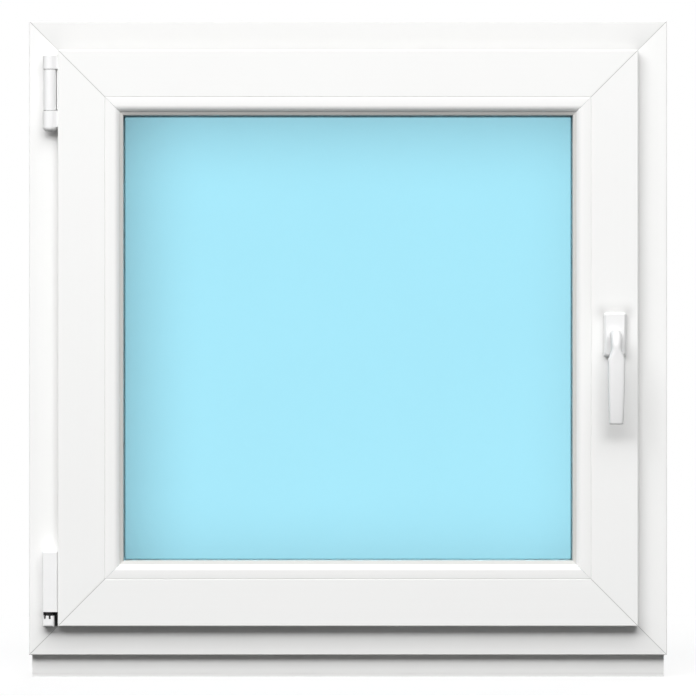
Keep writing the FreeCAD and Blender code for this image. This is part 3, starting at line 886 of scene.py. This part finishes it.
@dataclass
class Glazing:
    """The double pane with its spacer, blocks and the seals round it."""

    rounding: float = 0.6 * MILLIMETRE
    glass_band: float = 8.0 * MILLIMETRE
    lip_band: float = 5.1 * MILLIMETRE
    lip_trim: float = 0.5 * MILLIMETRE
    lip_front: float = 4.7 * MILLIMETRE
    lip_slant: float = 2.9 * MILLIMETRE
    rebate_band: float = 5.0 * MILLIMETRE
    spacer_height: float = 7.0 * MILLIMETRE
    slot_pitch: float = 6.0 * MILLIMETRE
    slot_length: float = 1.6 * MILLIMETRE
    slot_width: float = 0.8 * MILLIMETRE
    slot_depth: float = 0.2 * MILLIMETRE

    def build(self, finishes: "Finishes") -> None:
        """Dress the panes and lay the seals and vent slots.

        Args:
            finishes: The window's finishes.
        """
        dress(("inner_pane",), finishes.inner_glass)
        dress(("outer_pane",), finishes.outer_glass)
        dress(("pane_spacer",), finishes.spacer)
        dress(("glazing_blocks",), finishes.block)
        sweep = SealSweep()
        outer = (finishes.outer_rubber, Slot.OUTER_RUBBER)
        inner = (finishes.inner_rubber, Slot.INNER_RUBBER)
        seals = (
            ("outer_glass_seal", self.glass_band, outer),
            ("frame_seal", self.rebate_band, outer),
            ("sash_seal", self.rebate_band, inner),
        )
        for node, band, rubber in seals:
            self.lay_seal(sweep, node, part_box(node), band, 0.0, *rubber)
        low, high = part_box("inner_glass_seal")
        edge = self.glass_band - self.lip_trim - self.lip_band
        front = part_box("sash_left_stile")[0].y + self.lip_front
        lip = (
            Vector((low.x + edge, front, low.z + edge)),
            Vector((high.x - edge, high.y, high.z - edge)),
        )
        self.lay_seal(sweep, "inner_glass_seal", lip, self.lip_band, self.lip_slant, *inner)
        self.pierce_spacer(finishes.vent)

    def lay_seal(
        self,
        sweep: SealSweep,
        node: str,
        box: tuple[Vector, Vector],
        band: float,
        slant: float,
        material: Material,
        slot: Slot,
    ) -> None:
        """Put a rounded seal in the place of a plain one.

        Args:
            sweep: The tree that sweeps it.
            node: The plain seal's name.
            box: The low and high corner of the room that it takes.
            band: How wide its band is.
            slant: How far its face falls back towards the glass.
            material: Its finish.
            slot: The record's slot of that finish; not used.
        """
        low, high = box
        span = high - low
        piece = sweep.bake(f"{node}_lip", {
            "Path Width": span.x - band,
            "Path Height": span.z - band,
            "Band Width": band,
            "Band Depth": span.y,
            "Slant": slant,
            "Rounding": self.rounding,
            "Middle": (low + high) / 2,
            "Finish": material,
        })
        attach(piece, Body.WINDOW.value)
        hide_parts(node)
        log.info("swept %s", piece.name)

    def pierce_spacer(self, material: Material) -> None:
        """Lay the vent slots in the spacer's inner face.

        Args:
            material: The dark of the slots, painted shade for the holes' insides.
        """
        low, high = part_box("pane_spacer")
        middle = (low + high) / 2
        piece = SpacerHoles().bake("spacer_vents", {
            "Path Width": high.x - low.x - 2 * self.spacer_height,
            "Path Height": high.z - low.z - 2 * self.spacer_height,
            "Pitch": self.slot_pitch,
            "Slot Length": self.slot_length,
            "Slot Width": self.slot_width,
            "Slot Depth": self.slot_depth,
            "Middle": middle,
            "Finish": material,
        })
        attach(piece, Body.WINDOW.value)
        log.info("pierced %s", piece.name)


@dataclass
class Hinges:
    """The stay hinge at the top left and the corner hinge at the bottom left."""

    enamelled: tuple[str, ...] = (
        "top_hinge_band", "top_hinge_bearing", "bottom_hinge_cover", "bottom_hinge_pivot",
    )
    steel: tuple[str, ...] = ("top_hinge_pin", "bottom_hinge_pin", "bottom_hinge_plate")

    def build(self, finishes: "Finishes") -> None:
        """Dress the covers and the steel inside them."""
        dress(self.enamelled, finishes.hinge_enamel)
        dress(self.steel, finishes.dark_steel)


@dataclass(frozen=True)
class Section:
    """One cross-section of the lever: where it lies and how large and square it is."""

    depth: float
    drop: float
    lean: float
    width: float
    thickness: float
    squareness: float

    def ring(self, pivot: Vector, points: int) -> list[Vector]:
        """Set points round the section.

        Args:
            pivot: Where the lever's axis meets the sash.
            points: How many points there are.

        Returns:
            The points, against the clock as seen from the lever's end.
        """
        middle = pivot + Vector((0.0, -self.depth, -self.drop))
        outward = Vector((0.0, -math.sin(self.lean), math.cos(self.lean)))
        turns = [2 * math.pi * number / points for number in range(points)]
        return [
            middle
            + Vector((self.bulge(math.cos(turn)) * self.width / 2, 0.0, 0.0))
            + outward * self.bulge(math.sin(turn)) * self.thickness / 2
            for turn in turns
        ]

    def bulge(self, share: float) -> float:
        """Share of the half width on a rounded square instead of a circle."""
        return math.copysign(abs(share) ** (2 / self.squareness), share)


@dataclass
class Handle:
    """The rose on the sash and the lever that turns in it."""

    journal_start: float = 2.1 * MILLIMETRE
    neck_width: float = 12.9 * MILLIMETRE
    neck_reach: float = 24.0 * MILLIMETRE
    neck_bend: float = 16.0 * MILLIMETRE
    swell_start: float = 17.0 * MILLIMETRE
    swell_end: float = 34.0 * MILLIMETRE
    grip_width: float = 21.5 * MILLIMETRE
    grip_thickness: float = 12.0 * MILLIMETRE
    grip_end_width: float = 17.0 * MILLIMETRE
    grip_end_thickness: float = 10.0 * MILLIMETRE
    grip_bow: float = 5.0 * MILLIMETRE
    end_rounding: float = 2.0 * MILLIMETRE
    neck_squareness: float = 2.0
    grip_squareness: float = 3.4
    ring_points: int = 48
    bend_steps: int = 16
    grip_steps: int = 48
    end_steps: int = 6

    def build(self, finishes: "Finishes") -> None:
        """Dress the rose and draw the lever.

        Args:
            finishes: The window's finishes.
        """
        dress(("handle_rose",), finishes.handle_enamel)
        piece = self.loft("handle_lever_smooth", finishes.handle_enamel)
        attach(piece, Body.HANDLE.value)
        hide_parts("handle_lever")
        log.info("drew %s", piece.name)

    def grip_section(self, drop: float, length: float) -> Section:
        """Size the grip at one height.

        Args:
            drop: How far the section lies below the pivot.
            length: The lever's whole length below the pivot.

        Returns:
            A section that swells from the neck, then tapers and bows back to the end.
        """
        part_way = (drop - self.swell_start) / (self.swell_end - self.swell_start)
        part_way = min(max(part_way, 0.0), 1.0)
        swell = part_way * part_way * (3 - 2 * part_way)
        bow = max(drop - self.swell_end, 0.0) ** 2 / (length - self.swell_end) ** 2

        def blend(neck: float, grip: float, end: float) -> float:
            """Value between the neck's, the grip's and the end's."""
            return neck + swell * (grip - neck) + bow * (end - grip)

        return Section(
            self.neck_reach + self.neck_bend - bow * self.grip_bow,
            drop,
            QUARTER_TURN,
            blend(self.neck_width, self.grip_width, self.grip_end_width),
            blend(self.neck_width, self.grip_thickness, self.grip_end_thickness),
            blend(self.neck_squareness, self.grip_squareness, self.grip_squareness),
        )

    def sections(self, length: float) -> list[Section]:
        """List the lever's sections from the rose to the end.

        Args:
            length: The lever's whole length below the pivot.

        Returns:
            The sections in order.
        """
        neck = (self.neck_width, self.neck_width, self.neck_squareness)
        found = [Section(self.journal_start, 0.0, 0.0, *neck)]
        for step in range(self.bend_steps + 1):
            lean = step / self.bend_steps * QUARTER_TURN
            depth = self.neck_reach + self.neck_bend * math.sin(lean)
            found.append(Section(depth, self.neck_bend * (1 - math.cos(lean)), lean, *neck))
        run = length - self.end_rounding - self.neck_bend
        for step in range(1, self.grip_steps + 1):
            found.append(self.grip_section(self.neck_bend + step / self.grip_steps * run, length))
        for step in range(1, self.end_steps + 1):
            turn = step / self.end_steps * QUARTER_TURN
            whole = self.grip_section(length - self.end_rounding * (1 - math.sin(turn)), length)
            inset = 2 * self.end_rounding * (1 - math.cos(turn))
            width, thickness = whole.width - inset, whole.thickness - inset
            found.append(replace(whole, width=width, thickness=thickness))
        return found

    def loft(self, name: str, material: Material) -> bpy.types.Object:
        """Skin the lever's sections.

        Args:
            name: The piece's name.
            material: Its finish.

        Returns:
            An object at the origin with a closed mesh.
        """
        low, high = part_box("handle_rose")
        pivot = Vector(((low.x + high.x) / 2, high.y, (low.z + high.z) / 2))
        sections = self.sections(pivot.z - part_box("handle_lever")[0].z)
        points = [point for section in sections for point in section.ring(pivot, self.ring_points)]
        count = self.ring_points
        last = count * (len(sections) - 1)
        faces = [tuple(reversed(range(count))), tuple(range(last, last + count))]
        for first in range(0, last, count):
            following = first + count
            for number in range(count):
                after = (number + 1) % count
                faces.append(
                    (first + number, first + after, following + after, following + number)
                )
        mesh = bpy.data.meshes.new(name)
        mesh.from_pydata(points, [], faces)
        mesh.materials.append(material)
        soften(mesh)
        return put(name, mesh)


@dataclass
class Finishes:
    """Every material of the window, made once."""

    plastic: PlasticFinish = PlasticFinish()
    # A darker copy of the plastic for the frame's rails, base profile and drain caps: painted shade
    shaded_frame_plastic: PlasticFinish = PlasticFinish(
        white=screen(238, 238, 237), shade=screen(234, 234, 233)
    )
    seal_bite: float = 8.0 * MILLIMETRE
    # Reach and darkest tone of the painted shade round and above the rose, and above the sash
    rose_rim_shade: tuple[float, Colour] = (12.0 * MILLIMETRE, screen(230, 230, 229))
    rose_ledge_shade: tuple[float, Colour] = (18.0 * MILLIMETRE, screen(208, 208, 207))
    sash_ledge_shade: tuple[float, Colour] = (48.0 * MILLIMETRE, screen(212, 212, 211))
    tint: Colour = (0.615, 0.915, 0.998)

    def __post_init__(self) -> None:
        """Make the materials."""
        low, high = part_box("inner_glass_seal")
        bite = self.seal_bite
        sight = {"half_width": high.x - bite, "low": low.z + bite, "high": high.z - bite}
        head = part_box("frame_head")[1]
        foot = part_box("frame_bottom_rail")[0]
        seam = WeldSeam(head.x, (head.z - foot.z) / 2, (head.z + foot.z) / 2)
        sash_shades = self.sash_shades()
        self.plain = {
            run: self.plastic.material(f"plastic_{run.name.lower()}", run) for run in Run
        }
        self.sash_stile = self.plastic.material(
            "sash_stile", Run.UPRIGHT, seam, self.rose_shades()
        )
        self.welded = {
            run: self.plastic.material(f"welded_{run.name.lower()}", run, seam) for run in Run
        }
        self.frame_rail = self.shaded_frame_plastic.material("frame_rail", Run.ACROSS, seam, sash_shades)
        self.frame_trim = self.shaded_frame_plastic.material("frame_trim", Run.ACROSS)
        self.hinge_enamel = EnamelFinish("hinge_enamel").material()
        self.handle_enamel = EnamelFinish(
            "handle_enamel", screen(239, 239, 239), screen(235, 235, 235)
        ).material()
        self.inner_rubber = RubberFinish(
            "inner_rubber", screen(204, 203, 200), screen(212, 211, 208)
        ).material()
        self.outer_rubber = RubberFinish(
            "outer_rubber", screen(206, 206, 204), screen(214, 214, 212)
        ).material()
        self.inner_glass = GlassFinish(
            "inner_glass",
            tint=self.tint,
            # Painted shade along the pane's edges, strongest at the left and top
            left=EdgeShade(depth=0.31, reach=0.107),
            right=EdgeShade(depth=0.08, reach=0.075),
            bottom=EdgeShade(depth=0.14, reach=0.088),
            top=EdgeShade(depth=0.26, reach=0.107),
            **sight,
        ).material()
        self.outer_glass = GlassFinish("outer_glass", tint=self.tint, **sight).material()
        self.spacer = MetalFinish(
            "spacer_metal", screen(222, 223, 224), screen(230, 231, 232),
            roughness=0.4, metallic=0.1,
        ).material()
        # Dark plates in the vent slots: painted shade for the holes' insides
        self.vent = MetalFinish(
            "spacer_vent", screen(24, 24, 25), screen(40, 40, 41), roughness=0.7
        ).material()
        self.block = RubberFinish(
            "block_plastic", screen(60, 92, 120), screen(72, 104, 132)
        ).material()
        self.dark_steel = MetalFinish(
            "dark_steel", screen(22, 22, 23), screen(40, 40, 42), roughness=0.5, metallic=0.4
        ).material()

    def rose_shades(self) -> tuple[PaintedShade, ...]:
        """Paint shade on the sash round the handle's rose, and more above it.

        Returns:
            The two shades.
        """
        low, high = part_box("handle_rose")
        foot = Vector((low.x, high.y, low.z))
        ledge = Vector((low.x, high.y, high.z))
        return PaintedShade(foot, high, *self.rose_rim_shade), PaintedShade(ledge, high, *self.rose_ledge_shade)

    def sash_shades(self) -> tuple[PaintedShade, ...]:
        """Paint shade on the frame above the sash.

        Returns:
            The one shade.
        """
        low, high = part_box("sash_top_rail")
        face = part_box("frame_head")[0].y
        ledge = (Vector((low.x, face, high.z)), Vector((high.x, face, high.z)))
        return (PaintedShade(*ledge, *self.sash_ledge_shade),)


@dataclass(frozen=True)
class Lamp:
    """A soft rectangular lamp that the camera doesn't see."""

    name: str
    power: float
    place: tuple[float, float, float]
    width: float
    height: float

    def hang(self, target: Vector) -> None:
        """Hang the lamp and turn it to a point.

        Args:
            target: The point that it faces.
        """
        data = bpy.data.lights.new(self.name, "AREA")
        data.shape = "RECTANGLE"
        data.size = self.width
        data.size_y = self.height
        data.energy = self.power
        lamp = put(self.name, data)
        lamp.location = self.place
        lamp.visible_camera = False
        lamp.rotation_euler = (target - lamp.location).to_track_quat("-Z", "Y").to_euler()


@dataclass
class Studio:
    """Floor, light and the camera in front of the window."""

    picture_width: float = 0.873
    distance: float = 6.0
    eye_height: float = 0.413
    sensor: float = 36.0
    floor_half: float = 15.0
    shadow_reach: float = 0.7
    ambient: float = 0.18
    floor_dim: Colour = (0.06, 0.06, 0.06)
    floor_pale: Colour = (0.95, 0.95, 0.95)
    floor_glow: float = 0.8
    lamps: tuple[Lamp, ...] = (
        Lamp("key", power=795.0, place=(-1.2, -8.13, 5.24), width=11.0, height=2.97),
        Lamp("upper", power=412.0, place=(-0.85, -5.2, 7.15), width=12.0, height=3.4),
        Lamp("rear", power=610.0, place=(2.0, 8.0, 3.4), width=6.0, height=3.0),
    )

    def build(self) -> None:
        """Set the scene round the window."""
        bpy.context.scene.view_settings.view_transform = "Standard"
        self.set_camera()
        self.set_world()
        self.lay_floor()
        for lamp in self.lamps:
            lamp.hang(Vector((0.0, 0.0, self.eye_height)))

    def set_camera(self) -> None:
        """Stand the camera square in front of the frame's room face."""
        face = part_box("frame_head")[0].y
        data = bpy.data.cameras.new("camera")
        data.sensor_width = self.sensor
        data.lens = self.sensor * self.distance / self.picture_width
        camera = put("camera", data)
        camera.location = (0.0, face - self.distance, self.eye_height)
        camera.rotation_euler = STANDING
        bpy.context.scene.camera = camera

    @staticmethod
    def seen(board: Board) -> Channel:
        """Tell the rays that show the background from those that light the window.

        Args:
            board: The tree.

        Returns:
            One for camera, mirror and glass rays, else zero.
        """
        path = board.add("ShaderNodeLightPath", {}, {})
        rays = [
            Channel(board, path.outputs[name])
            for name in ("Is Camera Ray", "Is Glossy Ray", "Is Transmission Ray")
        ]
        return (rays[0] + rays[1] + rays[2]).held()

    def set_world(self) -> None:
        """Fill the surroundings with soft light, and show them white."""
        world = bpy.data.worlds.new("studio")
        world.use_nodes = True
        bpy.context.scene.world = world
        board = Board(world.node_tree)
        ambient = (self.ambient,) * 3
        colour = board.mix(self.seen(board), ambient, WHITE)
        light = board.add("ShaderNodeBackground", {}, {"Color": colour, "Strength": 1.0})
        board.add("ShaderNodeOutputWorld", {}, {"Surface": light.outputs[0]})

    def lay_floor(self) -> None:
        """Lay a white floor that keeps the window's shadow."""
        mesh = bpy.data.meshes.new("floor")
        half = self.floor_half
        corners = ((-half, -half), (half, -half), (half, half), (-half, half))
        mesh.from_pydata([(*corner, 0.0) for corner in corners], [], [(0, 1, 2, 3)])
        floor = put("floor", mesh)
        paint = Paint("floor")
        seen = self.seen(paint)
        dim = paint.add("ShaderNodeBsdfDiffuse", {}, {"Color": opaque(self.floor_dim)})
        pale = paint.add("ShaderNodeBsdfDiffuse", {}, {"Color": opaque(self.floor_pale)})
        glow = paint.add("ShaderNodeEmission", {}, {"Color": opaque(WHITE), "Strength": 1.0})
        across, away, _ = paint.axes()
        farness = ((across * across + away * away) ** 0.5 / self.shadow_reach - 1.0).held()
        share = self.floor_glow + farness * (1.0 - self.floor_glow)
        mixed = paint.overlay(seen, dim, paint.overlay(share, pale, glow))
        paint.add("ShaderNodeOutputMaterial", {}, {"Surface": mixed.outputs[0]})
        mesh.materials.append(paint.material)


def main() -> None:
    """Build the window's looks in order."""
    logging.basicConfig(level=logging.INFO, format="%(name)s: %(message)s")
    finishes = Finishes()
    for assembly in (OuterFrame(), Sash(), Glazing(), Hinges(), Handle()):
        assembly.build(finishes)
    Studio().build()


if __name__ == "__main__":
    main()
